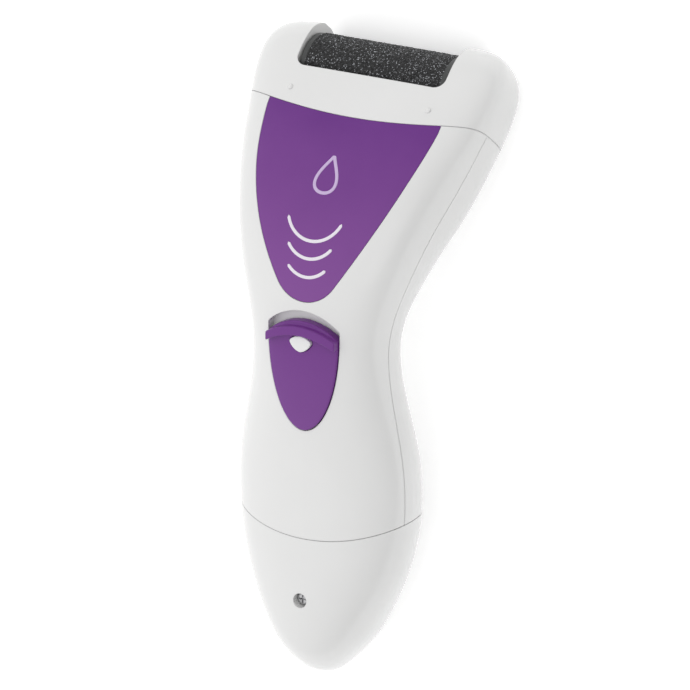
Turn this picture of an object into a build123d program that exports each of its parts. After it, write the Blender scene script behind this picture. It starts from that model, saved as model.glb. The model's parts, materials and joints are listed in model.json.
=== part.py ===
from build123d import *

import os
from math import atan2, cos, degrees, pi, radians, sin, sqrt, tan

# Electric callus remover, in millimetres.
# Design frame: X to the right, Y up the handle towards the head, Z out of the front, origin at
# the bottom tip.
# The head bends back from the handle. Every solid is designed there and turned as it is written, so that
# the device lies on its back: row +Y runs from the handle to the head and +Z points up.

# ---- driving dimensions ----
BEND_START = 91.0          # distance along the centre line where the handle starts to bend
BEND_RADIUS = 62.0
BEND_ANGLE = 37.2          # degrees, how far the head leans back
ROLLER_AT = 163.0          # distance along the centre line of the roller's axis
WALL = 2.2                 # shell wall
HEAD_WALL = 1.8            # head frame wall
SEAM_GAP = 0.12            # visible gap between neighbouring casings
PARTING = 3.3              # how far the shell parting line lies in front of the centre line
CAP_SEAM = 40.4            # height of the battery cap's seam in the middle
CAP_SEAM_RADIUS = 65.0     # the cap's seam bows down in the middle
HEAD_SEAM = -15.2          # middle of the head's seam, along the head from the roller's axis
HEAD_SEAM_RADIUS = 145.0   # the head's seam bows down too

ROLLER_RADIUS = 10.0
SLEEVE_HALF = 20.3         # half length of the abrasive sleeve
END_CAP = 1.4              # thickness of each roller end cap
WINDOW_HALF = 22.25        # half width of the roller window
LIP_FRONT = -2.8           # window edge along the head from the roller axis, front
LIP_BACK = 1.5             # window edge along the head from the roller axis, back

GEAR_MODULE = 0.5
PINION_TEETH = 14
IDLER_TEETH = 30
OUTPUT_TEETH = 26
GEAR_X = 26.2              # inner face of the gears
GEAR_WIDTH = 2.5
ARM_X = 24.05              # inner face of the two arms that carry the roller
ARM_THICK = 1.8

BATTERY_RADIUS = 7.15
BATTERY_X = 7.6            # centre of each cell from the middle
BATTERY_Z = -2.0
BATTERY_START = 21.0
BATTERY_LENGTH = 50.5

SLIDE_TRAVEL = 2.3
SLIDE_TIP = 70.8
SLIDE_TOP = 101.1
SLIDE_SHOULDER = 96.9      # height where the tongue is widest, at its top corners
SLIDE_HALF = 10.4
POCKET_DEPTH = 2.6
POCKET_GAP = 0.3
BUTTON_AT = 95.2

SCREW_AT = 23.6            # height of the battery cap screw
TONGUE_Z = 6.2             # underside of the forked tongue that the cap screw clamps
TONGUE_THICK = 1.8
CAP_SCREW_SEAT = 12.6      # height of the floor that the screw's head sits on

REST_TILT = 11.4           # degrees that the handle leans up from the table, head resting behind

# Stations of the body along its centre line:
# distance, half width, depth in front, depth behind, squareness of the section
STATIONS = [
    (0.0, 2.4, 3.0, 3.0, 2.2),
    (1.5, 5.2, 7.2, 7.0, 2.2),
    (5.0, 8.8, 11.4, 11.0, 2.2),
    (10.0, 12.8, 14.4, 13.8, 2.3),
    (16.0, 16.2, 15.8, 15.8, 2.3),
    (28.0, 21.5, 15.2, 17.8, 2.3),
    (44.0, 25.0, 13.6, 19.4, 2.3),
    (62.0, 24.7, 13.2, 17.0, 2.3),
    (80.0, 21.3, 13.9, 12.0, 2.4),
    (95.0, 20.3, 14.2, 10.6, 2.7),
    (111.0, 24.4, 15.4, 12.8, 3.3),
    (121.0, 27.5, 15.7, 13.8, 3.7),
    (131.0, 30.5, 15.5, 14.2, 4.0),
    (141.0, 32.9, 14.3, 13.9, 4.3),
    (150.0, 34.7, 12.8, 13.2, 4.5),
    (163.0, 36.2, 10.9, 11.6, 5.0),
    (168.0, 35.6, 9.7, 10.7, 5.0),
    (171.5, 33.9, 8.0, 8.8, 4.6),
    (174.0, 31.2, 5.4, 6.0, 4.0),
    (175.3, 27.6, 2.4, 2.6, 3.4),
]
TIP_LENGTH = 16.0          # stretch at the bottom where an offset also moves the section down


# ---- centre line and body ----
def centre(s):
    """Point (y, z) of the centre line at distance s, and its lean in degrees."""
    bend = min(max((s - BEND_START) / BEND_RADIUS, 0.0), radians(BEND_ANGLE))
    after = max(s - BEND_START - BEND_RADIUS * radians(BEND_ANGLE), 0.0)
    before = min(s, BEND_START)
    y = before + BEND_RADIUS * sin(bend) + after * cos(bend)
    z = -BEND_RADIUS * (1 - cos(bend)) - after * sin(bend)
    return y, z, degrees(bend)


def superellipse(y, z, lean, half, front, back, square):
    """Closed section wire across the centre line at (y, z): four quarters that meet squarely on the axes."""
    out_y = sin(radians(lean))
    out_z = cos(radians(lean))
    pull = (8 * 2 ** (-1 / square) - 4) / 3

    def at(across, depth):
        return (across, y + depth * out_y, z + depth * out_z)

    corners = [(half, front), (-half, front), (-half, -back), (half, -back)]
    quarters = []
    for i, (across, depth) in enumerate(corners):
        side = [at(across, 0), at(across, depth * pull)]
        face = [at(across * pull, depth), at(0, depth)]
        points = side + face
        quarters.append(Bezier(*(points if i % 2 == 0 else reversed(points))))
    return Wire(quarters)


def body(grow=0.0):
    """The whole outer form, moved outwards by grow."""
    end = STATIONS[-1][0]
    sections = []
    for s, half, front, back, square in STATIONS:
        near_tip = max(0.0, 1 - s / TIP_LENGTH)
        near_end = max(0.0, (s - ROLLER_AT) / (end - ROLLER_AT))
        y, z, lean = centre(max(s, 0.0))
        shift = grow * (near_end - near_tip)
        y += shift * cos(radians(lean))
        z -= shift * sin(radians(lean))
        sizes = [max(v + grow, 0.8 + 0.1 * v) for v in (half, front, back)]
        sections.append(superellipse(y, z, lean, *sizes, square))
    return Solid.make_loft(sections)


HEAD = Plane(
    origin=(0, centre(ROLLER_AT)[0], centre(ROLLER_AT)[1]),
    x_dir=(1, 0, 0),
    z_dir=(0, sin(radians(BEND_ANGLE)), cos(radians(BEND_ANGLE))),
)


OUTER = body()
CAVITY = body(-WALL)


# ---- small builders ----
def block(x, y, z):
    """Box between the given (low, high) pairs."""
    size = [high - low for low, high in (x, y, z)]
    middle = [(high + low) / 2 for low, high in (x, y, z)]
    return Pos(*middle) * Box(*size)


def rod(radius, x, y=0.0, z=0.0):
    """Cylinder along X between the (low, high) pair x, at (y, z)."""
    return Pos((x[0] + x[1]) / 2, y, z) * Rot(Y=90) * Cylinder(radius, x[1] - x[0])


def post(radius, z, x=0.0, y=0.0):
    """Cylinder along Z between the (low, high) pair z, at (x, y)."""
    return Pos(x, y, (z[0] + z[1]) / 2) * Cylinder(radius, z[1] - z[0])


def bar(radius, y, x=0.0, z=0.0):
    """Cylinder along Y between the (low, high) pair y, at (x, z)."""
    return Pos(x, (y[0] + y[1]) / 2, z) * Rot(X=90) * Cylinder(radius, y[1] - y[0])


def slice_y(low, high):
    return block((-60, 60), (low, high), (-60, 60))


def station_plane(s):
    """Plane on the centre line at distance s: Y along the centre line, Z out of the front."""
    y, z, lean = centre(s)
    turn = radians(lean)
    return Plane(origin=(0, y, z), x_dir=(1, 0, 0), z_dir=(0, sin(turn), cos(turn)))


def front_half(offset):
    """Everything in front of the parting line, with the line moved forwards by offset."""
    depth = PARTING + offset
    bend_end = BEND_START + BEND_RADIUS * radians(BEND_ANGLE)
    points = []
    for s in (BEND_START, (BEND_START + bend_end) / 2, bend_end, 205):
        y, z, lean = centre(s)
        points.append((y + depth * sin(radians(lean)), z + depth * cos(radians(lean))))
    start, middle, bent, end = points
    outline = Polyline(end, (end[0], 60), (-30, 60), (-30, depth), start)
    outline += ThreePointArc(start, middle, bent)
    outline += Line(bent, end)
    return extrude(make_face(Plane.YZ * outline), 60, both=True)


def straight_form(plane_y, low, high, half, front, back, square):
    """Solid with a constant section along Y, between low and high."""
    face = Face(superellipse(plane_y, 0, 0, half, front, back, square))
    return Pos(0, low - plane_y, 0) * extrude(face, high - low, dir=(0, 1, 0))


# ---- seams and outlines ----
def head_side(grow=0.0):
    """Everything on the head frame's side of the head seam."""
    disc = Pos(0, HEAD_SEAM + HEAD_SEAM_RADIUS) * Circle(HEAD_SEAM_RADIUS + grow)
    return HEAD * extrude(disc, 60, both=True)


def above_cap(grow=0.0):
    """Everything on the handle's side of the battery cap's seam, up to 130 mm."""
    disc = Pos(0, CAP_SEAM + CAP_SEAM_RADIUS) * Circle(CAP_SEAM_RADIUS + grow)
    return extrude(disc, 60, both=True)


PANEL_LEAN = 29.6
PANEL_DEPTH = 1.2
PANEL_HALF = 25.6
PANEL_WAIST = (20.5, -21.6)
PANEL_FOOT = (8.4, -45.6)
PANEL_TIP = -50.2
PANEL = Plane(
    origin=(HEAD * Pos(0, HEAD_SEAM, 12.6)).position,
    x_dir=(1, 0, 0),
    z_dir=(0, sin(radians(PANEL_LEAN)), cos(radians(PANEL_LEAN))),
)


def panel_form(grow):
    """Column over the panel's outline: a shield that narrows to a round tip."""
    top = 14
    waist = (PANEL_WAIST[0] + grow, PANEL_WAIST[1])
    foot = (PANEL_FOOT[0] + grow, PANEL_FOOT[1])
    half = PANEL_HALF + grow
    outline = Polyline((-half, 0), (-half, top), (half, top), (half, 0))
    outline += ThreePointArc((half, 0), waist, foot)
    outline += ThreePointArc(foot, (0, PANEL_TIP - grow), (-foot[0], foot[1]))
    outline += ThreePointArc((-foot[0], foot[1]), (-waist[0], waist[1]), (-half, 0))
    face = make_face(outline)
    face = fillet(face.vertices().sort_by(Axis.Y)[:2], 6)
    return PANEL * (Pos(0, 0, -12) * extrude(face, 30))


def slide_outline(grow, stretch=0.0):
    """Tongue outline: arched top, and sides that draw in along a half ellipse to the tip."""
    half = SLIDE_HALF + grow
    shoulder = SLIDE_SHOULDER + stretch
    depth = SLIDE_SHOULDER - SLIDE_TIP + grow
    side = [(half * cos(t * pi / 16), SLIDE_SHOULDER - depth * sin(t * pi / 16)) for t in range(17)]
    top = ThreePointArc((half, shoulder), (0, SLIDE_TOP + grow + stretch), (-half, shoulder))
    outline = Spline(*side) + top
    if stretch > 0:
        outline += Line((half, SLIDE_SHOULDER), (half, shoulder))
        outline += Line((-half, SLIDE_SHOULDER), (-half, shoulder))
    face = make_face(outline)
    return fillet(face.vertices().sort_by(Axis.Y)[-2:], 1.2)


def slide_column(grow, stretch=0.0):
    return Pos(0, 0, 5) * extrude(slide_outline(grow, stretch), 25)


# ---- casings ----
SCREW_POSTS = [(84.0, 14.2, -5.2), (84.0, -14.2, -5.2), (117.0, 20.0, -5.6), (117.0, -20.0, -5.6)]
POST_RADIUS = 2.7
SHANK_RADIUS = 1.1
SHANK_TOP = 7.2


def screw_posts(z, radius):
    """One column per shell screw, between the (low, high) pair z measured from the centre line."""
    return [station_plane(s) * post(radius, z, x) for s, x, _ in SCREW_POSTS]


COLLAR = (23.6, 13.8, 18.4)  # half width, front and back of the cap seat, outside the clearance
COLLAR_LOW = 36.6
COLLAR_GAP = 2.45
COLLAR_WALL = 1.2


def collar():
    """Ring on the shells that the battery cap slides over, with the flange that carries it."""
    outside = [v - COLLAR_GAP for v in COLLAR]
    inside = [v - COLLAR_WALL for v in outside]
    ring = straight_form(CAP_SEAM, COLLAR_LOW, 50.0, *outside, 2.3)
    flange = body(-1.0) & slice_y(COLLAR_LOW, 50.0) & above_cap(-SEAM_GAP / 2)
    bore = straight_form(CAP_SEAM, 30.0, 60.0, *inside, 2.3)
    return (ring + flange) - above_cap(-2.6) - bore


def make_shells():
    middle = slice_y(30, 200) - head_side(SEAM_GAP)
    below_seam = slice_y(0, CAP_SEAM + 12) - above_cap(-SEAM_GAP / 2)
    hull = ((OUTER - CAVITY) & middle) - below_seam
    hull = hull + collar()

    front = hull & front_half(SEAM_GAP / 2)
    column = slide_column(POCKET_GAP + 1.6, SLIDE_TRAVEL)
    pocket_wall = (body(-0.6) - body(-POCKET_DEPTH - 1.8)) & column
    posts = [p & body(-0.8) for p in screw_posts((PARTING + SEAM_GAP / 2, 20), POST_RADIUS)]
    tongue_root = block((-4, 4), (43.5, 50.0), (TONGUE_Z, 12.2)) & body(-0.8)
    tongue = block((-4, 4), (19.8, 50.0), (TONGUE_Z, TONGUE_Z + TONGUE_THICK))
    front = front + [pocket_wall, tongue_root, tongue] + posts
    pocket = (body(4) - body(-POCKET_DEPTH)) & slide_column(POCKET_GAP, SLIDE_TRAVEL)
    slot = block((-2.7, 2.7), (82.6, 100.4), (0, 20))
    recess = (body(3) - body(-PANEL_DEPTH - 0.05)) & panel_form(0.12)
    fork = [block((-1.25, 1.25), (15.0, SCREW_AT), (0, 10)), post(1.25, (0, 10), 0, SCREW_AT)]
    front = front - [pocket, slot, recess] - fork - screw_posts((0, SHANK_TOP + 0.5), SHANK_RADIUS)

    rear = hull - front_half(-SEAM_GAP / 2)
    posts = [p & body(-0.8) for p in screw_posts((-20, PARTING - SEAM_GAP / 2), POST_RADIUS)]
    rear = rear + posts
    sinks = [station_plane(s) * post(2.2, (-25, seat), x) for s, x, seat in SCREW_POSTS]
    rear = rear - screw_posts((-20, 20), SHANK_RADIUS + 0.05) - sinks
    return front, rear


CONTACT_RIB = (14.4, 16.0)
CAP_CONTACT = 0.4          # contact sheet thickness
CELL_GAP = 0.1             # contacts stop this short of the cells


def make_battery_cap():
    cap = ((OUTER - CAVITY) & slice_y(-5, CAP_SEAM + 12)) - above_cap(SEAM_GAP / 2)
    boss = post(3.6, (TONGUE_Z + TONGUE_THICK + 0.1, 30), 0, SCREW_AT) & body(-0.8)
    rib = body(-1.0) & slice_y(*CONTACT_RIB)
    pad_top = BATTERY_START - CELL_GAP - CAP_CONTACT
    pad = block((-BATTERY_X - 3, -BATTERY_X + 3), (15.5, pad_top), (BATTERY_Z - 3, BATTERY_Z + 3))
    cap = cap + [boss, rib, pad]
    return cap - [post(1.1, (0, 30), 0, SCREW_AT), post(1.95, (CAP_SCREW_SEAT, 30), 0, SCREW_AT)]


def head_block(x, y, z):
    return HEAD * block(x, y, z)


CHEEK_WALL = 1.5
TONGUE_LOW = -20.0         # locating tongues of the head frame, along the head
TONGUE_REACH = (7.9, 9.5)
CHANNEL_HALF = 10.35       # half depth of the straight channel that lets the frame slide off over the roller


def make_head_frame():
    frame = (OUTER - body(-HEAD_WALL)) & head_side()
    added = []
    for side in (-1, 1):
        x = sorted((side * WINDOW_HALF, side * (WINDOW_HALF + CHEEK_WALL)))
        wall = head_block(x, (-11.0, 14), (-14, 14)) & body(-0.6)
        slot = [head_block(x, (-20, 0), (-2.5, 2.5)), HEAD * rod(2.5, x)]
        added.append(wall - slot)
        for low, high in (TONGUE_REACH, (-TONGUE_REACH[1], -TONGUE_REACH[0])):
            added.append(head_block(x, (TONGUE_LOW, -10.0), (low, high)))
    frame = frame + added

    window = Rectangle(2 * WINDOW_HALF, 40)
    window = fillet(window.vertices(), 3.0)
    front_cut = HEAD * (Pos(0, LIP_FRONT + 20, 0) * extrude(window, 30))
    back_cut = HEAD * (Pos(0, LIP_BACK + 20, -30) * extrude(window, 30))
    channel = head_block((-WINDOW_HALF, WINDOW_HALF), (-20, 20), (-CHANNEL_HALF, CHANNEL_HALF))
    return frame - [front_cut, back_cut, channel]


def make_front_panel():
    skin = (OUTER - body(-PANEL_DEPTH)) & panel_form(0.0)
    return skin - head_side(SEAM_GAP)


# ---- slide switch and lock button ----
RIDGE_LOW = 97.5           # lower edge of the finger ridge in the middle
RIDGE_TOP = 100.0
RIDGE_RADIUS = 19.0
RIDGE_HEIGHT = 2.3
SLIDE_PROUD = 0.5
SLIDE_FLOOR_GAP = 0.35     # the slide rides on the switch knob, clear of the pocket's floor
STEM_HALF = 1.8
CUP_RADIUS = 2.4
BUTTON_STEM = 1.3
BUTTON_TRAVEL = 1.0
KNOB_AT = 86.0


def arc_band(low, high):
    """Column between two arcs that bow up in the middle, used for the finger ridge."""
    outer = Pos(0, high - RIDGE_RADIUS) * Circle(RIDGE_RADIUS)
    inner = Pos(0, low - RIDGE_RADIUS) * Circle(RIDGE_RADIUS)
    return Pos(0, 0, 8) * extrude(outer - inner, 20)


def egg(grow):
    """Button outline: flat on top, pointed below."""
    half = 3.3 + grow
    top = BUTTON_AT + 2.0 + grow
    low = BUTTON_AT - 2.4 - grow
    outline = ThreePointArc((-half, BUTTON_AT + 0.5), (0, top), (half, BUTTON_AT + 0.5))
    outline += ThreePointArc((half, BUTTON_AT + 0.5), (half * 0.62, BUTTON_AT - 1.4 - grow * 0.6), (0, low))
    outline += ThreePointArc((0, low), (-half * 0.62, BUTTON_AT - 1.4 - grow * 0.6), (-half, BUTTON_AT + 0.5))
    return fillet(make_face(outline).vertices(), 0.7)


def make_slide():
    column = slide_column(0.0)
    below = body(-POCKET_DEPTH + SLIDE_FLOOR_GAP)
    plate = (body(SLIDE_PROUD) - below) & column
    ridge = (body(RIDGE_HEIGHT) - below) & column & arc_band(RIDGE_LOW, RIDGE_TOP)
    prongs = [
        block((-STEM_HALF, STEM_HALF), (KNOB_AT - 2.6, KNOB_AT - 1.05), (6.9, 12.5)),
        block((-STEM_HALF, STEM_HALF), (KNOB_AT + 1.05, KNOB_AT + 2.6), (6.9, 12.5)),
    ]
    cup = post(CUP_RADIUS, (8.2, 12.5), 0, BUTTON_AT)
    slide = plate + [ridge, cup] + prongs
    well = Pos(0, 0, 12.6) * extrude(egg(0.12), 10)
    return slide - [well, post(BUTTON_STEM + 0.35, (8.8, 20), 0, BUTTON_AT)]


def make_lock_button():
    top = (body(SLIDE_PROUD + 0.7)) & (Pos(0, 0, 13.7) * extrude(egg(0.0), 10))
    stem = post(BUTTON_STEM, (12.4, 14.0), 0, BUTTON_AT)
    return top + stem


def coil(radius, wire, low, high, turns):
    """Coil spring along Z from low to high."""
    height = high - low - wire
    path = Helix(height / turns, height, radius)
    section = Plane(path @ 0, z_dir=path % 0) * Circle(wire / 2)
    return Pos(0, 0, low + wire / 2) * sweep(section, path, is_frenet=True)


# ---- roller and drive ----
def tube(outer, inner, x):
    return rod(outer, x) - rod(inner, (x[0] - 1, x[1] + 1))


HUB = 2.6                  # bore of the roller core, and outside of both bushings
SHAFT = 1.5
HEX_SOCKET = 2.1           # half width across the flats, in the drive cap
HEX_SHAFT = 2.05           # half width across the flats, on the shaft
RUNNING = 0.06             # radial running clearance
ROLLER_END = SLEEVE_HALF + END_CAP


def hexagon(half, x):
    """Hexagonal bar along X between the (low, high) pair x."""
    flat = Plane(origin=(x[0], 0, 0), x_dir=(0, 1, 0), z_dir=(1, 0, 0))
    return flat * extrude(RegularPolygon(half, 6, major_radius=False), x[1] - x[0])


def make_roller_parts():
    sleeve = tube(ROLLER_RADIUS, 8.8, (-SLEEVE_HALF, SLEEVE_HALF))
    core = tube(8.8, HUB, (-SLEEVE_HALF, SLEEVE_HALF))
    core = core - [tube(7.4, 4.2, (2, SLEEVE_HALF + 1)), tube(7.4, 4.2, (-SLEEVE_HALF - 1, -2))]
    drive_cap = rod(9.7, (SLEEVE_HALF, ROLLER_END)) + rod(HUB, (16.0, SLEEVE_HALF))
    drive_cap = drive_cap - hexagon(HEX_SOCKET, (18.0, 40.0))
    idle_cap = rod(9.7, (-ROLLER_END, -SLEEVE_HALF)) - rod(HUB, (-30, 0))
    idle_bushing = tube(HUB, SHAFT + RUNNING, (-ROLLER_END, -16.0))
    return sleeve, core, drive_cap, idle_cap, idle_bushing


def gear_outline(teeth, phase):
    """Involute spur gear outline with thinned teeth, one tooth centred at the phase angle."""
    pitch = GEAR_MODULE * teeth / 2
    base = pitch * cos(radians(20))
    tip = pitch + 0.8 * GEAR_MODULE
    root = pitch - 1.2 * GEAR_MODULE
    start = max(base, root)
    backlash = 0.05

    def involute(radius):
        roll = sqrt(max((radius / base) ** 2 - 1, 0.0))
        return roll - atan2(roll, 1)

    half = pi / (2 * teeth) - backlash / pitch + involute(pitch)
    flank = [start + (tip - start) * k / 4 for k in range(5)]
    points = []
    for tooth in range(teeth):
        middle = phase + 2 * pi * tooth / teeth
        rise = [(root, half)] if root < base else []
        rise += [(radius, half - involute(radius)) for radius in flank]
        side = [(radius, middle - angle) for radius, angle in rise]
        side += [(radius, middle + angle) for radius, angle in reversed(rise)]
        points += [(radius * cos(angle), radius * sin(angle)) for radius, angle in side]
    return make_face(Polyline(*points, close=True))


def gear(teeth, at, phase, bore):
    """Spur gear across the head, its axis at height at along the head."""
    flat = Plane(origin=(GEAR_X, at, 0), x_dir=(0, 1, 0), z_dir=(1, 0, 0))
    wheel = flat * extrude(gear_outline(teeth, phase) - Circle(bore), GEAR_WIDTH)
    return wheel


OUTPUT_PITCH = GEAR_MODULE * OUTPUT_TEETH / 2
IDLER_PITCH = GEAR_MODULE * IDLER_TEETH / 2
PINION_PITCH = GEAR_MODULE * PINION_TEETH / 2
IDLER_AT = -(OUTPUT_PITCH + IDLER_PITCH)
MOTOR_AT = IDLER_AT - IDLER_PITCH - PINION_PITCH
MOTOR_RADIUS = 10.2
MOTOR_FLAT = 7.6
MOTOR_BACK = -1.0
MOTOR_SCREWS = (-5.5, 5.5)
ARM = (ARM_X, ARM_X + ARM_THICK)


def motor_form(shrink, x):
    """Round motor body with two flats, facing front and back."""
    round_form = rod(MOTOR_RADIUS - shrink, x, MOTOR_AT)
    flat_form = block(x, (MOTOR_AT - 12, MOTOR_AT + 12), (-MOTOR_FLAT + shrink, MOTOR_FLAT - shrink))
    return round_form & flat_form


def make_motor():
    front = ARM_X
    can = motor_form(0, (MOTOR_BACK, front)) - motor_form(0.8, (MOTOR_BACK - 1, front - 1.0))
    can = can + rod(3.0, (front, front + 1.4), MOTOR_AT)
    holes = [rod(0.8, (20, front), MOTOR_AT, z) for z in MOTOR_SCREWS]
    can = can - rod(1.0 + RUNNING, (0, 30), MOTOR_AT) - holes
    end_cap = motor_form(0.0, (MOTOR_BACK - 2, MOTOR_BACK))
    end_cap = end_cap + rod(2.8, (MOTOR_BACK - 3.6, MOTOR_BACK), MOTOR_AT)
    end_cap = end_cap - rod(1.0 + RUNNING, (-6, 0), MOTOR_AT)
    blade = block((-6.2, MOTOR_BACK - 2), (MOTOR_AT - 1, MOTOR_AT + 1), (-0.25, 0.25))
    terminals = [Pos(0, 0, z) * blade for z in (-4.6, 4.6)]
    shaft = rod(1.0, (-4.2, GEAR_X + GEAR_WIDTH + 0.3), MOTOR_AT)
    armature = Pos(0, MOTOR_AT, 0) * tube(6.2, 1.0, (4.0, 18.5))
    return can, end_cap, terminals, shaft, armature


def make_gear_frame():
    """Two arms joined by a bridge behind the motor."""
    def arm_outline():
        outline = Polyline((-38.5, -6.0), (-31.0, -9.0), (-17.0, -9.0), (-4.0, -5.0))
        outline += ThreePointArc((-4.0, -5.0), (6.4, 0), (-4.0, 5.0))
        outline += Polyline((-4.0, 5.0), (-17.0, 9.0), (-31.0, 9.0), (-38.5, 6.0), (-38.5, -6.0))
        return make_face(outline)

    arms = []
    for x in (ARM[0], -ARM[1]):
        flat = Plane(origin=(x, 0, 0), x_dir=(0, 1, 0), z_dir=(1, 0, 0))
        arms.append(flat * extrude(arm_outline(), ARM_THICK))
    bridge = block((-ARM[1], ARM[1]), (-38.5, -36.7), (-5, 5))
    frame = bridge + arms
    holes = [
        rod(HUB, ARM),
        rod(1.0, ARM, IDLER_AT),
        rod(3.0, ARM, MOTOR_AT),
        *[rod(0.8, ARM, MOTOR_AT, z) for z in MOTOR_SCREWS],
        rod(SHAFT, (-ARM[1], -ARM[0])),
    ]
    return frame - holes


def make_dust_tray():
    """Trough behind the roller that keeps dust out of the motor bay."""
    inner = ROLLER_RADIUS + 0.9
    trough = tube(inner + 1.2, inner, (-WINDOW_HALF + 0.3, WINDOW_HALF - 0.3))
    trough = trough & block((-30, 30), (-20, -5), (-8.5, 8.5))
    foot = block((-ARM_X, ARM_X), (-14.4, -11.6), (-6, 6)) - rod(inner, (-30, 30))
    return trough + foot


# ---- power ----
def make_battery(sign):
    """Cylindrical cell; sign is +1 where the button end points at the head."""
    length = BATTERY_LENGTH
    cell = bar(BATTERY_RADIUS, (0, length - 1.2)) + bar(2.75, (length - 1.3, length))
    if sign < 0:
        cell = Pos(0, length, 0) * Rot(Z=180) * cell
    return cell


TRAY_WALL = (76.4, 78.0)
TRAY_LOW = 47.0
CELL_END = BATTERY_START + BATTERY_LENGTH
TAB_Z = (BATTERY_Z - 1, BATTERY_Z + 1)


def make_tray():
    """Cradle behind the cells, with an end wall for the upper contacts."""
    cradle = block((-15.4, 15.4), (TRAY_LOW, TRAY_WALL[1]), (-10.6, -3.5))
    nest = bar(BATTERY_RADIUS + 0.15, (TRAY_LOW - 1, TRAY_WALL[0]), 0, BATTERY_Z)
    nests = [Pos(x, 0, 0) * nest for x in (-BATTERY_X, BATTERY_X)]
    wall = block((-14.5, 14.5), TRAY_WALL, (-8.0, 5.2))
    pad_y = (CELL_END + CELL_GAP + CAP_CONTACT, TRAY_WALL[0])
    pad = block((BATTERY_X - 3, BATTERY_X + 3), pad_y, (BATTERY_Z - 3, BATTERY_Z + 3))
    tray = ((cradle - nests) & body(-WALL - 0.05)) + [wall & body(-WALL - 0.05), pad]
    tabs = [block(x, (70, 80), TAB_Z) for x in ((BATTERY_X + 3, BATTERY_X + 3.4), (-11.5, -11.1))]
    return tray - tabs


def make_upper_contacts():
    face = (CELL_END + CELL_GAP, CELL_END + CELL_GAP + CAP_CONTACT)
    z = (BATTERY_Z - 3, BATTERY_Z + 3)
    plus = block((BATTERY_X - 3, BATTERY_X + 3.4), face, z)
    plus = plus + block((BATTERY_X + 3, BATTERY_X + 3.4), (face[0], 79.6), TAB_Z)
    sheet = (TRAY_WALL[0] - CAP_CONTACT, TRAY_WALL[0])
    minus = block((-11.5, -BATTERY_X + 3.5), sheet, z) + block((-11.5, -11.1), (sheet[0], 79.6), TAB_Z)
    return plus, minus


def make_cap_contact():
    """One bent strip that bridges the two cells at the cap."""
    z = (BATTERY_Z - 3, BATTERY_Z + 3)
    low = CONTACT_RIB[1]
    top = BATTERY_START - CELL_GAP
    riser = (-BATTERY_X + 3, -BATTERY_X + 3.4)
    base = block((riser[0], BATTERY_X + 3.5), (low, low + CAP_CONTACT), z)
    step = block(riser, (low, top), z)
    return base + step + block((-BATTERY_X - 3, riser[1]), (top - CAP_CONTACT, top), z)


def contact_spring(x, low, high):
    return Pos(x, 0, BATTERY_Z) * Rot(X=-90) * coil(2.6, 0.6, low, high, 3.5)


# ---- switch, wires and fasteners ----
SWITCH_TOP = 6.2
TERMINALS = (83.0, 86.0, 89.0)


def make_switch():
    housing = block((-5.5, 5.5), (81, 91), (2.6, SWITCH_TOP))
    knob = block((-1.5, 1.5), (KNOB_AT - 1, KNOB_AT + 1), (SWITCH_TOP + 0.05, 8.6))
    terminals = [block((-0.9, 0.9), (y - 0.25, y + 0.25), (0.4, 2.6)) for y in TERMINALS]
    return housing, knob, terminals


WIRE = 0.6
MOTOR_TAB_Z = 4.6
RED_ROUTE = [(10.8, 79.2, -2), (10.8, 83.5, -2), (6.5, 87.0, -2.5), (1.5, 86.0, -2.0), (0, 83.0, 0.8)]
BLUE_ROUTE = [
    (0, 86.0, 0.8), (-0.8, 88.0, -1.8), (-4.0, 95.0, -3.0), (-7.0, 107.0, -1.8),
    (-9.0, 119.0, -1.2), (-9.5, 128.5, -4.0), (-8.6, 135.0, -9.0), (-6.0, 136.6, -13.0),
]
BLACK_ROUTE = [
    (-11.3, 79.2, -2), (-9.9, 82.6, -2.5), (-9.8, 97.0, -4.2), (-11.2, 110.0, -8.6),
    (-11.6, 120.2, -13.6), (-9.6, 127.0, -18.8), (-6.0, 131.1, -20.3),
]


def wire(route):
    """Round wire along straight runs joined by arcs as large as the runs allow."""
    points = [Vector(*p) for p in route]
    radii = []
    for before, here, after in zip(points, points[1:], points[2:]):
        first = here - before
        second = after - here
        turn = radians(first.get_angle(second))
        radii.append(0.45 * min(first.length, second.length) / tan(turn / 2))
    path = FilletPolyline(*points, radius=radii)
    section = Plane(path @ 0, z_dir=path % 0) * Circle(WIRE)
    return sweep(section, path)


def pan_screw(shank, head, height, length):
    """Screw along +Z with its head's underside at z = 0 and a cross recess in the head."""
    screw = Cylinder(shank, length, align=(Align.CENTER, Align.CENTER, Align.MIN))
    cap = Cylinder(head, height, align=(Align.CENTER, Align.CENTER, Align.MAX))
    cap = fillet(cap.edges().filter_by(GeomType.CIRCLE).sort_by(Axis.Z)[:1], height * 0.4)
    slot = Pos(0, 0, -height) * Box(1.24 * head, 0.28 * head, 1.1 * height)
    return (screw + cap) - [slot, Rot(Z=90) * slot]


def make_shell_screws():
    screws = []
    for s, x, seat in SCREW_POSTS:
        screw = pan_screw(SHANK_RADIUS, 2.0, 1.7, SHANK_TOP - seat)
        screws.append(station_plane(s) * Pos(x, 0, seat) * screw)
    return screws


def make_motor_screws():
    screw = Rot(Y=-90) * pan_screw(0.8, 1.4, 0.9, ARM_THICK + 1.0)
    return [Pos(ARM[1], MOTOR_AT, z) * screw for z in MOTOR_SCREWS]


def make_cap_screw():
    screw = pan_screw(1.0, 1.8, 1.5, CAP_SCREW_SEAT - 4.4)
    screw = Pos(0, SCREW_AT, CAP_SCREW_SEAT) * Rot(X=180) * screw
    nut = block((-1.7, 1.7), (SCREW_AT - 1.7, SCREW_AT + 1.7), (TONGUE_Z - 1.5, TONGUE_Z - 0.1))
    return screw, nut - post(1.0, (0, 10), 0, SCREW_AT)


# ---- assembly ----
REST_HEIGHT = 12.1
REST_MIDDLE = 84.3
PLACE = Pos(0, -REST_MIDDLE, REST_HEIGHT) * Rot(X=REST_TILT)


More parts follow.
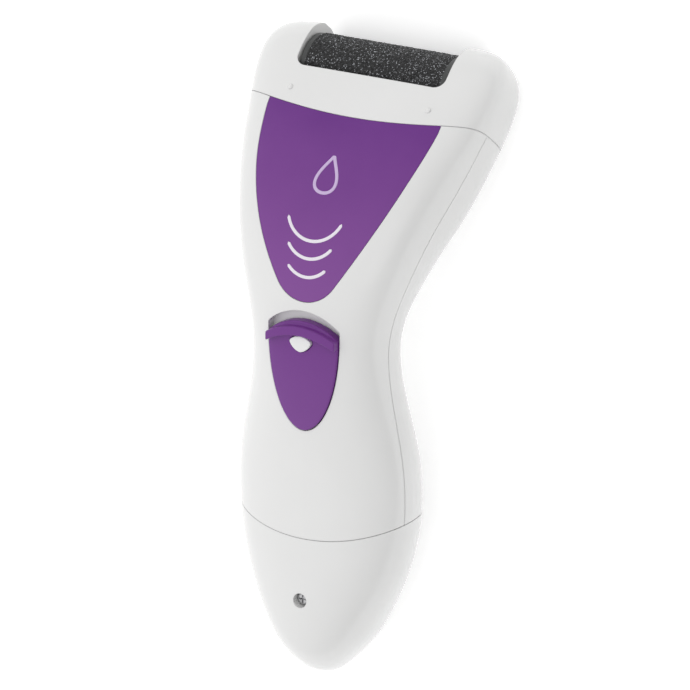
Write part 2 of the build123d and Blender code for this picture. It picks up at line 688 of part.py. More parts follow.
def above_table(shape):
    """Flattens the two places that the device rests on."""
    table = PLACE.inverse() * block((-60, 60), (-200, 200), (-60, 0))
    return shape - table


def make_parts():
    front_shell, rear_shell = make_shells()
    sleeve, core, drive_cap, idle_cap, idle_bushing = make_roller_parts()
    can, end_cap, motor_terminals, motor_shaft, armature = make_motor()
    plus, minus = make_upper_contacts()
    housing, knob, switch_terminals = make_switch()
    cap_screw, cap_nut = make_cap_screw()
    spring_ends = (CELL_END + CELL_GAP, TRAY_WALL[0] - CAP_CONTACT)
    in_handle = {
        "front_shell": front_shell,
        "rear_shell": rear_shell,
        "battery_cap": above_table(make_battery_cap()),
        "head_frame": above_table(make_head_frame()),
        "front_panel": make_front_panel(),
        "slide_switch": make_slide(),
        "lock_button": make_lock_button(),
        "lock_button_spring": Pos(0, BUTTON_AT, 0) * coil(1.0, 0.3, 8.85, 12.35, 5),
        "switch_body": housing,
        "switch_knob": knob,
        "switch_terminals": switch_terminals,
        "battery_tray": make_tray(),
        "battery_left": Pos(-BATTERY_X, BATTERY_START, BATTERY_Z) * make_battery(-1),
        "battery_right": Pos(BATTERY_X, BATTERY_START, BATTERY_Z) * make_battery(1),
        "positive_contact": plus,
        "negative_contact": minus,
        "negative_spring": contact_spring(-BATTERY_X, *spring_ends),
        "cap_contact": make_cap_contact(),
        "cap_spring": contact_spring(BATTERY_X, CONTACT_RIB[1] + CAP_CONTACT, BATTERY_START - CELL_GAP),
        "cap_screw": cap_screw,
        "cap_screw_nut": cap_nut,
        "shell_screws": make_shell_screws(),
        "red_wire": wire(RED_ROUTE),
        "blue_wire": wire(BLUE_ROUTE),
        "black_wire": wire(BLACK_ROUTE),
    }
    in_head = {
        "abrasive_sleeve": sleeve,
        "roller_core": core,
        "roller_drive_cap": drive_cap,
        "roller_idle_cap": idle_cap,
        "idle_bushing": idle_bushing,
        "drive_bushing": tube(HUB, SHAFT + RUNNING, ARM),
        "drive_shaft": rod(SHAFT, (ROLLER_END, GEAR_X + GEAR_WIDTH + 0.2))
        + hexagon(HEX_SHAFT, (18.5, ROLLER_END)),
        "output_gear": gear(OUTPUT_TEETH, 0, pi / OUTPUT_TEETH, SHAFT),
        "idler_gear": gear(IDLER_TEETH, IDLER_AT, 0.0, 1.0 + RUNNING),
        "idler_pin": rod(1.0, (ARM_X, 29.0), IDLER_AT) + rod(1.9, (29.0, 29.6), IDLER_AT),
        "motor_pinion": gear(PINION_TEETH, MOTOR_AT, pi / PINION_TEETH, 1.0),
        "motor_shaft": motor_shaft,
        "motor_armature": armature,
        "motor_can": can,
        "motor_end_cap": end_cap,
        "motor_terminals": motor_terminals,
        "motor_screws": make_motor_screws(),
        "pivot_pin": rod(SHAFT, (-ARM[1], -17.0)) + rod(2.6, (-ARM[1] - 1.0, -ARM[1])),
        "gear_frame": make_gear_frame(),
        "dust_tray": make_dust_tray(),
    }
    placed = {name: (PLACE, shape) for name, shape in in_handle.items()}
    placed.update({name: (PLACE * HEAD.location, shape) for name, shape in in_head.items()})
    return placed


def main():
    os.makedirs("parts", exist_ok=True)
    for name, (place, shape) in make_parts().items():
        pieces = shape if isinstance(shape, list) else [shape]
        solids = [place * solid for piece in pieces for solid in piece.solids()]
        export_step(solids[0] if len(solids) == 1 else Compound(children=solids), f"parts/{name}.step")


main()
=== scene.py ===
import json
import math
import random

import bmesh
import bpy
from mathutils import Euler, Matrix, Vector
from mathutils.bvhtree import BVHTree
from mathutils.kdtree import KDTree


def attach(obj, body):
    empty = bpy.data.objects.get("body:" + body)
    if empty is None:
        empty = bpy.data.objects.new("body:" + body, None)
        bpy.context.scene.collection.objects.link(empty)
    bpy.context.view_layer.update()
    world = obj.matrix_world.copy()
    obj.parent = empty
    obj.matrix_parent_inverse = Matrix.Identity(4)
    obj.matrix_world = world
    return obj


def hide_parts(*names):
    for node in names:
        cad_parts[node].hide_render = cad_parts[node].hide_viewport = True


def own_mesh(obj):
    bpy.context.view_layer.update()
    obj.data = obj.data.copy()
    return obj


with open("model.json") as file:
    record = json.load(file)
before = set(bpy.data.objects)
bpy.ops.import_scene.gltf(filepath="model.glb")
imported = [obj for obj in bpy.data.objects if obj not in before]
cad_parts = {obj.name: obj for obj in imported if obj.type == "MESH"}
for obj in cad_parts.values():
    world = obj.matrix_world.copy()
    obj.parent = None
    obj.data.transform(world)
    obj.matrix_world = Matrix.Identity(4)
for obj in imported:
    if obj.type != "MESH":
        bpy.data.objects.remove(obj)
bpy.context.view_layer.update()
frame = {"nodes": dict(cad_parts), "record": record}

MM = 0.001
NODES = frame["nodes"]

# ---- the device's own frames: handle frame and head frame, in the row frame ----
REST_TILT = math.radians(11.4)
REST_MIDDLE = 84.3
REST_HEIGHT = 12.1
HEAD_LEAN = math.radians(37.2)
HANDLE = Matrix.Translation((0, -REST_MIDDLE * MM, REST_HEIGHT * MM)) @ Matrix.Rotation(REST_TILT, 4, "X")
SPIN = next(j for j in frame["record"]["behaviour"]["joints"] if j["name"] == "roller_spin")
ROLLER = Vector(SPIN["pos_m"])
HEAD = Matrix.Translation(ROLLER) @ Matrix.Rotation(REST_TILT - HEAD_LEAN, 4, "X")
SLEEVE_HALF = 20.3
SLEEVE_RADIUS = 10.0


def in_handle(x, y, z):
    """Row-frame point from handle coordinates in millimetres."""
    return HANDLE @ Vector((x * MM, y * MM, z * MM))


def in_head(x, y, z):
    """Row-frame point from head coordinates in millimetres."""
    return HEAD @ Vector((x * MM, y * MM, z * MM))


# ---- materials: noise scales are per metre, relief is in millimetres ----
MIX_LOW = 6                # sockets of the colour mix node
MIX_HIGH = 7
MIX_RESULT = 2
BEVEL_SAMPLES = 6


class Nodes:
    """Small helper around one node tree."""

    def __init__(self, name):
        self.material = bpy.data.materials.new(name)
        self.material.use_nodes = True
        self.tree = self.material.node_tree
        self.shader = self.tree.nodes["Principled BSDF"]
        coords = self.tree.nodes.new("ShaderNodeTexCoord")
        self.point = coords.outputs["Object"]

    def new(self, kind, **values):
        node = self.tree.nodes.new(kind)
        for key, value in values.items():
            setattr(node, key, value)
        return node

    def link(self, out, into):
        self.tree.links.new(out, into)

    def noise(self, scale, detail=2.0, rough=0.5, stretch=None):
        node = self.new("ShaderNodeTexNoise")
        node.inputs["Scale"].default_value = scale
        node.inputs["Detail"].default_value = detail
        node.inputs["Roughness"].default_value = rough
        point = self.point
        if stretch:
            mapping = self.new("ShaderNodeMapping")
            mapping.inputs["Rotation"].default_value = (stretch[3], 0, 0)
            mapping.inputs["Scale"].default_value = stretch[:3]
            self.link(point, mapping.inputs["Vector"])
            point = mapping.outputs["Vector"]
        self.link(point, node.inputs["Vector"])
        return node.outputs["Fac"]

    def cells(self, scale):
        node = self.new("ShaderNodeTexVoronoi")
        node.inputs["Scale"].default_value = scale
        self.link(self.point, node.inputs["Vector"])
        return node

    def span(self, value, low, high, start=0.3, end=0.7):
        node = self.new("ShaderNodeMapRange")
        node.inputs["From Min"].default_value = start
        node.inputs["From Max"].default_value = end
        node.inputs["To Min"].default_value = low
        node.inputs["To Max"].default_value = high
        self.link(value, node.inputs["Value"])
        return node.outputs["Result"]

    def blend(self, factor, low, high):
        """Colour between low and high; each is a colour or an output."""
        node = self.new("ShaderNodeMix", data_type="RGBA")
        self.link(factor, node.inputs["Factor"])
        for end, socket in ((low, node.inputs[MIX_LOW]), (high, node.inputs[MIX_HIGH])):
            if isinstance(end, tuple):
                socket.default_value = (*end, 1.0)
            else:
                self.link(end, socket)
        return node.outputs[MIX_RESULT]

    def along(self, start, end):
        """0 to 1 between two row-frame points."""
        direction = end - start
        node = self.new("ShaderNodeVectorMath", operation="DOT_PRODUCT")
        self.link(self.point, node.inputs[0])
        node.inputs[1].default_value = direction / direction.length_squared
        shift = start.dot(direction) / direction.length_squared
        return self.span(node.outputs["Value"], 0.0, 1.0, shift, shift + 1.0)

    def bump(self, height, distance, edge=0.0):
        """Relief from a height; edge is the radius in metres that corners look rounded by."""
        node = self.new("ShaderNodeBump")
        node.inputs["Distance"].default_value = distance
        node.inputs["Strength"].default_value = 1.0
        self.link(height, node.inputs["Height"])
        if edge:
            soft = self.new("ShaderNodeBevel", samples=BEVEL_SAMPLES)
            soft.inputs["Radius"].default_value = edge
            self.link(soft.outputs["Normal"], node.inputs["Normal"])
        self.link(node.outputs["Normal"], self.shader.inputs["Normal"])

    def colour(self, out):
        self.link(out, self.shader.inputs["Base Color"])

    def rough(self, out):
        self.link(out, self.shader.inputs["Roughness"])

    def set(self, **values):
        names = {"metal": "Metallic", "coat": "Coat Weight", "ior": "IOR"}
        for key, value in values.items():
            self.shader.inputs[names[key]].default_value = value


def shade(colour, factor):
    return tuple(min(1.0, c * factor) for c in colour)


def plastic(name, colour, rough, spread=0.04, tone=0.03, grain=2200.0, relief=0.004, coat=0.0, edge=0.0):
    """Moulded plastic: faint cloudy tone, uneven gloss and a fine moulded skin."""
    n = Nodes(name)
    clouds = n.noise(45.0, 3.0)
    n.colour(n.blend(n.span(clouds, 0.0, 1.0), shade(colour, 1 - tone), shade(colour, 1 + tone)))
    n.rough(n.span(n.noise(120.0, 1.0), rough - spread, rough + spread, 0.1, 0.9))
    n.bump(n.noise(grain, 3.0, 0.6), relief * MM, edge * MM)
    n.set(coat=coat)
    return n.material


TRIM_IOR = 1.42            # the purple plastic reflects a little less than the white


def plastic_with_painted_shade(name, low, high, start, end, rough, relief=0.003, edge=0.0):
    """Tinted gloss plastic with painted shade: its colour runs from low at start to high at end, standing in
    for how light falls along the part.
    """
    n = Nodes(name)
    # painted shade: the colour goes from low at start to high at end
    painted_shade = n.along(start, end)
    base = n.blend(painted_shade, low, high)
    clouds = n.noise(60.0, 3.0)
    n.colour(n.blend(n.span(clouds, 0.0, 0.12), base, shade(high, 1.25)))
    n.rough(n.span(n.noise(140.0, 1.0), rough - 0.03, rough + 0.04, 0.1, 0.9))
    n.bump(n.noise(1800.0, 3.0, 0.6), relief * MM, edge * MM)
    n.set(ior=TRIM_IOR)
    return n.material


def metal(name, colour, rough, grain=(40.0, 1400.0, 1400.0, 0.0), relief=0.004, spots=0.0):
    """Metal with fine machining or drawing lines and a little dulled variation."""
    n = Nodes(name)
    lines = n.noise(1.0, 3.0, 0.6, grain)
    clouds = n.noise(180.0, 4.0, 0.6)
    n.colour(n.blend(n.span(clouds, 0.0, 1.0), shade(colour, 0.86), shade(colour, 1.08)))
    n.rough(n.span(lines, rough - 0.07, rough + 0.09))
    n.bump(lines, relief * MM)
    n.set(metal=1.0)
    return n.material


def grit(name):
    """Dark mineral grit: grain by grain tone, with a few grains painted light grey as painted glints of
    crystal faces.
    """
    n = Nodes(name)
    cells = n.cells(4200.0)
    tone = n.span(cells.outputs["Color"], 0.0, 1.0, 0.1, 0.9)
    base = n.blend(tone, (0.002, 0.002, 0.002), (0.013, 0.014, 0.015))
    # painted glints: a few cells get a light grey colour in place of crystal faces catching the light
    painted_glint_cells = n.cells(4600.0)
    bright = n.span(painted_glint_cells.outputs["Color"], 0.0, 1.0, 0.80, 0.88)
    n.colour(n.blend(bright, base, (0.46, 0.47, 0.50)))
    n.rough(n.span(cells.outputs["Color"], 0.34, 0.75, 0.0, 1.0))
    n.bump(n.noise(9000.0, 4.0, 0.65), 0.03 * MM)
    return n.material


def winding(name):
    """Enamelled copper wire laid side by side, with painted shade between the turns and a painted highlight
    on their tops.
    """
    n = Nodes(name)
    wave = n.new("ShaderNodeTexWave", bands_direction="X")
    wave.inputs["Scale"].default_value = 420.0
    wave.inputs["Distortion"].default_value = 0.6
    wave.inputs["Detail"].default_value = 2.0
    n.link(n.point, wave.inputs["Vector"])
    # painted shade and highlight: dark brown in the gaps between turns, bright copper on their tops
    n.colour(n.blend(wave.outputs["Fac"], (0.16, 0.045, 0.02), (0.62, 0.24, 0.10)))
    n.rough(n.span(n.noise(500.0, 3.0), 0.22, 0.4))
    n.bump(wave.outputs["Fac"], 0.06 * MM)
    n.set(metal=0.85)
    return n.material


def jacket(name, bottom, top):
    """Cell jacket: dark film with a lighter band near the button end."""
    n = Nodes(name)
    spread = n.along(bottom, top)
    band = n.span(spread, 0.0, 1.0, 0.700, 0.706)
    base = n.blend(band, (0.018, 0.019, 0.024), (0.47, 0.30, 0.12))
    scuffs = n.noise(900.0, 5.0, 0.7, (0.25, 1.0, 1.0, 0.0))
    n.colour(n.blend(n.span(scuffs, 0.0, 0.35, 0.55, 0.8), base, (0.35, 0.35, 0.36)))
    n.rough(n.span(n.noise(240.0, 4.0), 0.2, 0.38))
    n.bump(n.noise(1500.0, 3.0), 0.004 * MM)
    n.set(metal=0.35, coat=0.4)
    return n.material


def insulation(name, colour):
    n = Nodes(name)
    n.colour(n.blend(n.span(n.noise(400.0, 3.0), 0.0, 1.0), shade(colour, 0.8), shade(colour, 1.15)))
    n.rough(n.span(n.noise(900.0, 3.0), 0.38, 0.55))
    n.bump(n.noise(3500.0, 3.0), 0.006 * MM)
    return n.material


# ends of the painted shade: the purple panel and slide are coloured darker at their top end and lighter at
# their low end
PANEL_TOP = in_head(0, -14, 12)
PANEL_LOW = in_handle(0, 104, 14)
SLIDE_TOP = in_handle(0, 101, 14)
SLIDE_LOW = in_handle(0, 70, 13)

WHITE = plastic("white_shell_gloss", (0.76, 0.76, 0.755), 0.24, 0.04, 0.012, 900.0, 0.0012, 0.2, 0.4)
BUTTON_WHITE = plastic("white_button_gloss", (0.80, 0.80, 0.80), 0.16, 0.03, 0.01, 900.0, 0.001, 0.4, 0.3)
PURPLE = plastic_with_painted_shade("purple_trim_gloss", (0.122, 0.012, 0.212), (0.212, 0.060, 0.290),
                        PANEL_TOP, PANEL_LOW, 0.3)
SLIDE_PURPLE = plastic_with_painted_shade("purple_switch_satin", (0.150, 0.026, 0.232), (0.178, 0.046, 0.260),
                              SLIDE_TOP, SLIDE_LOW, 0.36, 0.006, 0.3)
GRIT = grit("abrasive_grit")
GREY_BAND = plastic("roller_end_plastic", (0.045, 0.047, 0.047), 0.38, 0.06, 0.08, 2200.0, 0.006)
INNER_GREY = plastic("inner_grey_plastic", (0.30, 0.31, 0.32), 0.45, 0.07, 0.05, 2600.0, 0.01)
ACETAL = plastic("gear_acetal", (0.72, 0.70, 0.62), 0.38, 0.06, 0.04, 2400.0, 0.006)
BLACK = plastic("black_plastic", (0.02, 0.02, 0.021), 0.36, 0.07, 0.15, 2600.0, 0.008)
STEEL = metal("plated_steel", (0.56, 0.56, 0.57), 0.3)
BRIGHT_STEEL = metal("bright_spring_steel", (0.66, 0.66, 0.67), 0.2)
BRASS = metal("turned_brass", (0.68, 0.50, 0.22), 0.26, (1800.0, 60.0, 60.0, 0.0))
COPPER = winding("copper_winding")
LEFT_JACKET = jacket("cell_jacket_left", in_handle(-7.6, 71.5, -2), in_handle(-7.6, 21, -2))
RIGHT_JACKET = jacket("cell_jacket_right", in_handle(7.6, 21, -2), in_handle(7.6, 71.5, -2))
RED = insulation("red_insulation", (0.50, 0.02, 0.02))
BLUE = insulation("blue_insulation", (0.03, 0.08, 0.42))
DARK = insulation("black_insulation", (0.02, 0.02, 0.02))
PRINT_WHITE = plastic("printed_white", (0.80, 0.76, 0.83), 0.3, 0.05, 0.03, 1500.0, 0.002, 0.2)
PRINT_LILAC = plastic("printed_lilac", (0.55, 0.42, 0.66), 0.32, 0.05, 0.03, 1500.0, 0.002, 0.2)

FINISH = {
    "white_shell": WHITE,
    "purple_trim": PURPLE,
    "purple_switch": SLIDE_PURPLE,
    "white_button": BUTTON_WHITE,
    "abrasive_grit": GRIT,
    "roller_plastic": GREY_BAND,
    "grey_plastic": INNER_GREY,
    "gear_plastic": ACETAL,
    "black_plastic": BLACK,
    "steel": STEEL,
    "spring_steel": BRIGHT_STEEL,
    "brass": BRASS,
    "copper_winding": COPPER,
    "red_insulation": RED,
    "blue_insulation": BLUE,
    "black_insulation": DARK,
}


def dress(obj, material):
    obj.data.materials.clear()
    obj.data.materials.append(material)


def add_piece(name, bm, material, body, smooth=True):
    mesh = bpy.data.meshes.new(name)
    bm.normal_update()
    bm.to_mesh(mesh)
    bm.free()
    mesh.materials.append(material)
    mesh.polygons.foreach_set("use_smooth", [smooth] * len(mesh.polygons))
    obj = bpy.data.objects.new(name, mesh)
    bpy.context.scene.collection.objects.link(obj)
    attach(obj, body)
    return obj


for part in frame["record"]["subparts"]:
    node = NODES[part["node"]]
    slot = part["material_slot"]
    if slot == "cell_jacket":
        dress(node, LEFT_JACKET if part["node"].endswith("left") else RIGHT_JACKET)
    else:
        dress(node, FINISH[slot])


def soften(node, voxel, rounds):
    """Rounds the edges of a moulded part as its mould does."""
    obj = NODES[node]
    mesh = obj.modifiers.new("even", "REMESH")
    mesh.mode = "VOXEL"
    mesh.voxel_size = voxel * MM
    mesh.use_smooth_shade = True
    smooth = obj.modifiers.new("round", "SMOOTH")
    smooth.factor = 0.5
    smooth.iterations = rounds


soften("slide_switch", 0.16, 18)
soften("lock_button", 0.07, 60)


# ---- grit sleeve: a real grain surface, in head millimetres ----
GRAIN_SEED = 7
GRAINS = 15000
GRAIN_HEIGHT = 0.3         # tallest grain; the tips reach the sleeve's radius
SLEEVE_BORE = 8.8
SLEEVE_AROUND = 460        # points round the sleeve
SLEEVE_ALONG = 300         # rows of points along it


def grit_sleeve():
    """Tube whose outside is a field of tilted grains; the rows at both ends fade to the bare tube."""
    rng = random.Random(GRAIN_SEED)
    around, length = SLEEVE_AROUND, SLEEVE_ALONG
    radius = SLEEVE_RADIUS - GRAIN_HEIGHT
    tree = KDTree(GRAINS)
    grains = []
    for i in range(GRAINS):
        angle = rng.uniform(-math.pi, math.pi)
        x = rng.uniform(-SLEEVE_HALF, SLEEVE_HALF)
        tree.insert((x, radius * math.cos(angle), radius * math.sin(angle)), i)
        lean = (rng.uniform(-0.55, 0.55), rng.uniform(-0.55, 0.55))
        grains.append((rng.uniform(0.05, 0.24), lean, rng.uniform(0.24, 0.42)))
    tree.balance()
    bm = bmesh.new()
    rings = []
    for i in range(length + 1):
        x = -SLEEVE_HALF + 2 * SLEEVE_HALF * i / length
        fade = min(1.0, min(i, length - i) / 2)
        ring = []
        for j in range(around):
            angle = 2 * math.pi * j / around
            across = Vector((0, -math.sin(angle), math.cos(angle)))
            out = Vector((0, math.cos(angle), math.sin(angle)))
            spot = Vector((x, 0, 0)) + out * radius
            rise = 0.0
            for where, k, gap in tree.find_n(spot, 3):
                high, lean, size = grains[k]
                away = spot - where
                face = high + lean[0] * away.x + lean[1] * away.dot(across)
                rise = max(rise, face * (1 - min(1.0, (gap / size)) ** 4))
            rise = min(rise, GRAIN_HEIGHT)
            ring.append(bm.verts.new(HEAD @ ((Vector((x, 0, 0)) + out * (radius + rise * fade)) * MM)))
        rings.append(ring)
    inner = []
    for x in (SLEEVE_HALF, -SLEEVE_HALF):
        ring = []
        for j in range(around):
            angle = 2 * math.pi * j / around
            at = (x, SLEEVE_BORE * math.cos(angle), SLEEVE_BORE * math.sin(angle))
            ring.append(bm.verts.new(in_head(*at)))
        inner.append(ring)
    loop = rings + inner + [rings[0]]
    for ring, after in zip(loop, loop[1:]):
        for j in range(around):
            k = (j + 1) % around
            bm.faces.new((ring[j], ring[k], after[k], after[j]))
    bmesh.ops.recalc_face_normals(bm, faces=bm.faces)
    return bm


sleeve = add_piece("grit_sleeve", grit_sleeve(), GRIT, "roller", smooth=False)
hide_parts("abrasive_sleeve")


# ---- spring under the lock button; the real one shortens as the button goes in, this coil keeps its length ----
BUTTON_AT = 95.2
SPRING_BASE = 8.85
SPRING_LENGTH = 3.5


def coil(radius, wire, turns, steps=200, sides=14):
    """Round wire coiled out of the handle's front, from the bottom of the button's cup."""
    bm = bmesh.new()
    rings = []
    for i in range(steps + 1):
        a = 2 * math.pi * turns * i / steps
        rise = SPRING_BASE + wire / 2 + (SPRING_LENGTH - wire) * i / steps
        ring = []
        for j in range(sides):
            b = 2 * math.pi * j / sides
            reach = radius + wire / 2 * math.cos(b)
            at = (reach * math.cos(a), BUTTON_AT + reach * math.sin(a), rise + wire / 2 * math.sin(b))
            ring.append(bm.verts.new(in_handle(*at)))
        rings.append(ring)
    for a, b in zip(rings, rings[1:]):
        for j in range(sides):
            k = (j + 1) % sides
            bm.faces.new((a[j], a[k], b[k], b[j]))
    bm.faces.new(rings[0])
    bm.faces.new(list(reversed(rings[-1])))
    bmesh.ops.recalc_face_normals(bm, faces=bm.faces)
    return bm


spring = add_piece("lock_spring_coil", coil(1.0, 0.3, 5), BRIGHT_STEEL, "slider")
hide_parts("lock_button_spring")
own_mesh(spring)


# ---- surface helpers ----
def surface(node):
    obj = NODES[node]
    return BVHTree.FromObject(obj, bpy.context.evaluated_depsgraph_get())


STRIP_PROFILE = [(-1.0, -0.5), (-1.0, 0.35), (-0.8, 0.8), (-0.45, 1.0), (0.0, 1.06), (0.45, 1.0), (0.8, 0.8),
                 (1.0, 0.35), (1.0, -0.5)]


def strip(points, half, height, tree, down):
    """Raised strip with round ends that follows a surface; points are row-frame points above it."""
    rows = []
    spots = []
    for p in points:
        hit, normal, _, _ = tree.ray_cast(p, down)
        spots.append((hit, -normal if normal.dot(down) > 0 else normal))
    total = len(spots)
    bm = bmesh.new()
    lengths = [0.0]
    for a, b in zip(spots, spots[1:]):
        lengths.append(lengths[-1] + (b[0] - a[0]).length)
    whole = lengths[-1]
    for i, (hit, normal) in enumerate(spots):
        ahead = spots[min(i + 1, total - 1)][0] - spots[max(i - 1, 0)][0]
        side = ahead.cross(normal).normalized()
        from_end = min(lengths[i], whole - lengths[i])
        width = half
        if from_end < half:
            width = math.sqrt(max(half ** 2 - (half - from_end) ** 2, (0.12 * half) ** 2))
        rise = height * min(1.0, 0.35 + 0.65 * width / half)
        row = []
        for across, up in STRIP_PROFILE:
            row.append(bm.verts.new(hit + side * (across * width) + normal * (up * rise)))
        rows.append(row)
    for a, b in zip(rows, rows[1:]):
        for k in range(len(STRIP_PROFILE)):
            m = (k + 1) % len(STRIP_PROFILE)
            bm.faces.new((a[k], a[m], b[m], b[k]))
    bm.faces.new(rows[0])
    bm.faces.new(list(reversed(rows[-1])))
    bmesh.ops.recalc_face_normals(bm, faces=bm.faces)
    return bm


# ---- print on the front panel: three bows and a plain drop ----
PANEL_TREE = surface("front_panel")
PANEL_DOWN = (HANDLE.to_3x3() @ Vector((0, -0.49, -0.87))).normalized()
PANEL_AT = (113.6, 11.9)   # height and depth of a point of the panel's face
PANEL_FALL = 0.36          # how fast the face falls back towards the head
CLEAR_OF_PANEL = 12 * MM
BOWS = ((8.0, 127.1, 121.6), (6.5, 120.5, 117.2), (5.6, 115.1, 112.7))
BOW_SIZE = (0.44 * MM, 0.12 * MM)
DROP_SIZE = (0.45 * MM, 0.1 * MM)


def over_panel(x, y):
    """Row-frame point in front of the panel, from handle millimetres."""
    depth = PANEL_AT[1] - (y - PANEL_AT[0]) * PANEL_FALL
    return in_handle(x, y, depth) - PANEL_DOWN * CLEAR_OF_PANEL


def arc(half, end, middle, count=41):
    """Points over a bow between (half, end) and (0, middle), in handle millimetres."""
    points = []
    sag = end - middle
    radius = (half ** 2 + sag ** 2) / (2 * sag)
    limit = math.asin(min(1.0, half / radius))
    for i in range(count):
        t = -limit + 2 * limit * i / (count - 1)
        x = radius * math.sin(t)
        y = middle + radius * (1 - math.cos(t))
        points.append(over_panel(x, y))
    return points


for index, measures in enumerate(BOWS, 1):
    bow = strip(arc(*measures), *BOW_SIZE, PANEL_TREE, PANEL_DOWN)
    piece = add_piece(f"panel_bow_{index}", bow, PRINT_WHITE, "casing")


def droplet(half, height, middle, count=81):
    """Points round a drop with its point upwards, in handle millimetres."""
    points = []
    for i in range(count):
        t = 2 * math.pi * i / (count - 1)
        x = half * 1.3 * math.sin(t) * math.sin(t / 2) ** 1.5
        y = middle + height * math.cos(t)
        points.append(over_panel(x, y))
    return points


drop = strip(droplet(3.4, 5.0, 139.0), *DROP_SIZE, PANEL_TREE, PANEL_DOWN)
piece = add_piece("panel_drop_mark", drop, PRINT_LILAC, "casing")


# ---- two location pips on the head frame ----
HEAD_TREE = surface("head_frame")
HEAD_DOWN = (HEAD.to_3x3() @ Vector((0, 0, -1))).normalized()
PIP_AT = (20.7, -9.5)      # from the middle, and along the head from the roller's axis
PIP_RADIUS = 0.8 * MM
PIP_HEIGHT = 0.45 * MM
PIP_SUNK = 0.02 * MM
PIP_LEVELS = 6
PIP_SIDES = 32


def pip(x, y):
    """Small round dome standing on the head frame, over a point in head millimetres."""
    hit, normal, _, _ = HEAD_TREE.ray_cast(in_head(x, y, 25), HEAD_DOWN)
    side = normal.cross(Vector((1, 0, 0))).normalized()
    other = normal.cross(side).normalized()
    bm = bmesh.new()
    rings = []
    for level in range(PIP_LEVELS + 1):
        turn = math.pi / 2 * level / PIP_LEVELS
        reach = max(PIP_RADIUS * math.cos(turn), 1e-6)
        rise = PIP_HEIGHT * math.sin(turn) - PIP_SUNK
        ring = []
        for j in range(PIP_SIDES):
            a = 2 * math.pi * j / PIP_SIDES
            out = side * math.cos(a) + other * math.sin(a)
            ring.append(bm.verts.new(hit + out * reach + normal * rise))
        rings.append(ring)
    for a, b in zip(rings, rings[1:]):
        for j in range(PIP_SIDES):
            k = (j + 1) % PIP_SIDES
            bm.faces.new((a[j], a[k], b[k], b[j]))
    bm.faces.new(rings[0])
    bm.faces.new(rings[-1])
    bmesh.ops.recalc_face_normals(bm, faces=bm.faces)
    return bm


for side, name in ((-1, "left"), (1, "right")):
    dome = pip(side * PIP_AT[0], PIP_AT[1])
    piece = add_piece(f"frame_pip_{name}", dome, WHITE, "head_cover")


# ---- floor: white paper that stays white in the device's shade ----
FLOOR_GLOW = 0.32
FLOOR_REACH = 3.0          # metres from the middle to each edge


def floor():
    mesh = bpy.data.meshes.new("floor")
    bm = bmesh.new()
    bmesh.ops.create_grid(bm, x_segments=8, y_segments=8, size=FLOOR_REACH)
    bm.to_mesh(mesh)
    bm.free()
    n = Nodes("floor_paper")
    n.colour(n.blend(n.span(n.noise(3.0, 3.0), 0.0, 1.0), (0.90, 0.90, 0.90), (0.92, 0.92, 0.92)))
    n.shader.inputs["Emission Color"].default_value = (1.0, 1.0, 1.0, 1.0)
    n.shader.inputs["Emission Strength"].default_value = FLOOR_GLOW
    n.rough(n.span(n.noise(500.0, 3.0), 0.7, 0.85))
    n.bump(n.noise(1200.0, 3.0), 0.01 * MM)
    mesh.materials.append(n.material)
    obj = bpy.data.objects.new("floor", mesh)
    bpy.context.scene.collection.objects.link(obj)


floor()

# ---- camera ----
RIGHT = HANDLE.to_3x3() @ Vector((0.866, 0.0, -0.5))
UP = HANDLE.to_3x3() @ Vector((-0.1545, 0.951, -0.2676))
BACK = HANDLE.to_3x3() @ Vector((0.4755, 0.309, 0.8236))
TRIM = Euler((math.radians(-1.47), math.radians(-0.40), math.radians(-0.25))).to_matrix()
AXES = Matrix((RIGHT.normalized(), UP.normalized(), BACK.normalized())).transposed() @ TRIM
DISTANCE = 3.0
VIEW_WIDTH = 0.1816        # metres across the picture at the aim
SENSOR = 36.0
AIM = (4.29, 85.3, 18.0)   # from the handle's bottom tip along right, up and back, in millimetres
AIM_TRIM = (0.12, 0.18)
aim = HANDLE.translation + (AIM[0] * RIGHT + AIM[1] * UP + AIM[2] * BACK) * MM
aim += (AXES.col[0] * AIM_TRIM[0] + AXES.col[1] * AIM_TRIM[1]) * MM
camera_data = bpy.data.cameras.new("camera")
camera_data.sensor_width = SENSOR
camera_data.lens = SENSOR * DISTANCE / VIEW_WIDTH
camera_data.clip_start = 0.05
camera_data.clip_end = 20.0
camera = bpy.data.objects.new("camera", camera_data)
bpy.context.scene.collection.objects.link(camera)
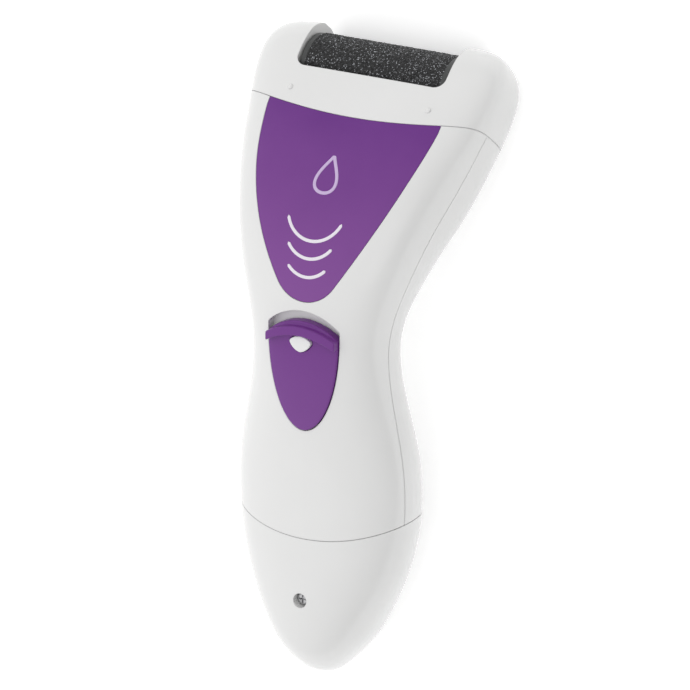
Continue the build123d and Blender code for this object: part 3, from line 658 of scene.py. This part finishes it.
camera.location = aim + AXES.col[2] * DISTANCE
camera.rotation_mode = "QUATERNION"
camera.rotation_quaternion = AXES.to_quaternion()
bpy.context.scene.camera = camera


# ---- light ----
WORLD_LOW = 0.15           # brightness of the studio on its dark and bright side
WORLD_HIGH = 1.10
WORLD_SPAN = 0.9


def softbox(name, direction, distance, size, power):
    """Area light that looks at the middle of the device; direction is right, up, towards the camera."""
    data = bpy.data.lights.new(name, "AREA")
    data.shape = "RECTANGLE"
    data.size, data.size_y = size
    data.energy = power
    obj = bpy.data.objects.new(name, data)
    bpy.context.scene.collection.objects.link(obj)
    way = (RIGHT * direction[0] + UP * direction[1] + BACK * direction[2]).normalized()
    obj.location = aim + way * distance
    obj.rotation_mode = "QUATERNION"
    obj.rotation_quaternion = way.to_track_quat("Z", "Y")


def studio_world():
    """Bright on the left of the view, softly darker on the right: one seamless wall of light."""
    world = bpy.data.worlds.new("studio")
    world.use_nodes = True
    nodes, links = world.node_tree.nodes, world.node_tree.links
    coords = nodes.new("ShaderNodeTexCoord")
    side = nodes.new("ShaderNodeVectorMath")
    side.operation = "DOT_PRODUCT"
    bright = AXES.col[0] * -0.92 + AXES.col[1] * 0.05 + AXES.col[2] * 0.38
    side.inputs[1].default_value = bright.normalized()
    links.new(coords.outputs["Generated"], side.inputs[0])
    span = nodes.new("ShaderNodeMapRange")
    span.interpolation_type = "SMOOTHSTEP"
    span.inputs["From Min"].default_value = -WORLD_SPAN
    span.inputs["From Max"].default_value = WORLD_SPAN
    span.inputs["To Min"].default_value = WORLD_LOW
    span.inputs["To Max"].default_value = WORLD_HIGH
    links.new(side.outputs["Value"], span.inputs["Value"])
    links.new(span.outputs["Result"], nodes["Background"].inputs["Strength"])
    nodes["Background"].inputs["Color"].default_value = (1.0, 1.0, 1.0, 1.0)
    return world


softbox("near", (-0.1, -0.1, 1.0), 1.8, (1.2, 1.2), 2.4)
bpy.context.scene.world = studio_world()
bpy.context.scene.view_settings.view_transform = "Standard"
